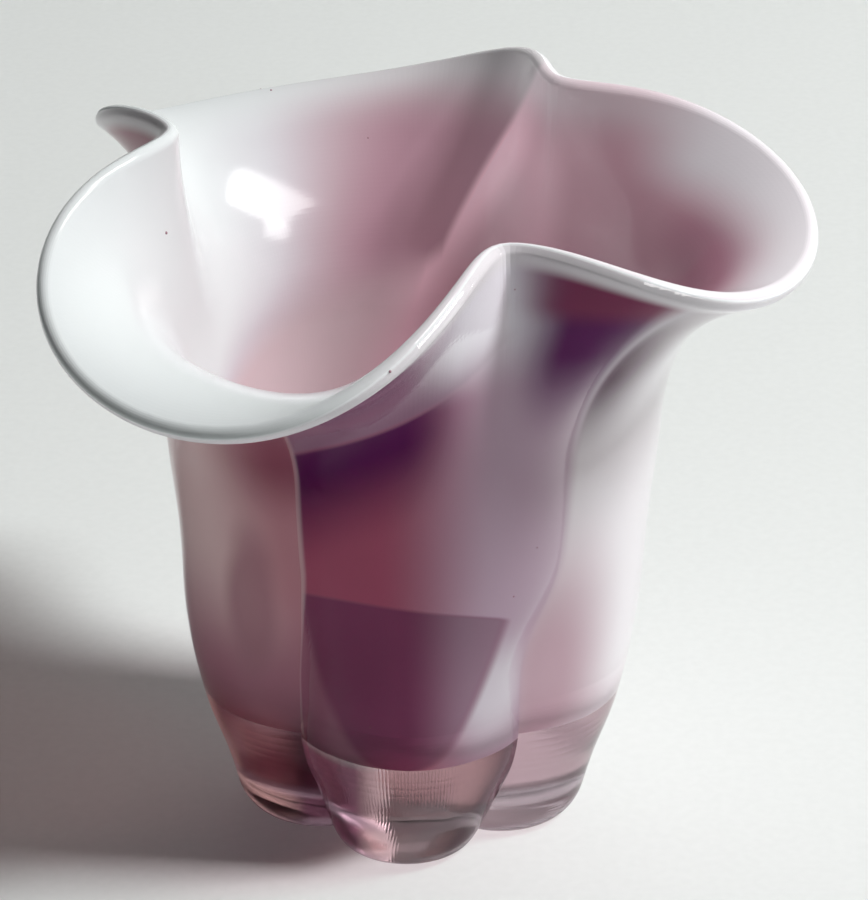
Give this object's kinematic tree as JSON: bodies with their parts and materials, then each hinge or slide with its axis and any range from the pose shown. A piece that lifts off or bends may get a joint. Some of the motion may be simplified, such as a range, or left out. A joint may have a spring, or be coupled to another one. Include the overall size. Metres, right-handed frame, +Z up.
{
  "type": "crimped vase",
  "caption": "Blown cased-glass vase with a lobed foot and body, a flared rim pinched into upright folds, and a milky lining under clear amethyst glass.",
  "frame": {"origin": "middle of the flat underside of the foot, on the table", "axes": "+Z up along the body's axis; -Y towards the broad front lobe of the foot; +X to the right seen from there"},
  "size_m": [0.1688, 0.1892, 0.1612],
  "materials": {
    "amethyst_glass": "polished",
    "opal_lining": "polished"
  },
  "bodies": {
    "root": {"vase": "amethyst_glass"}
  },
  "joints": []
}
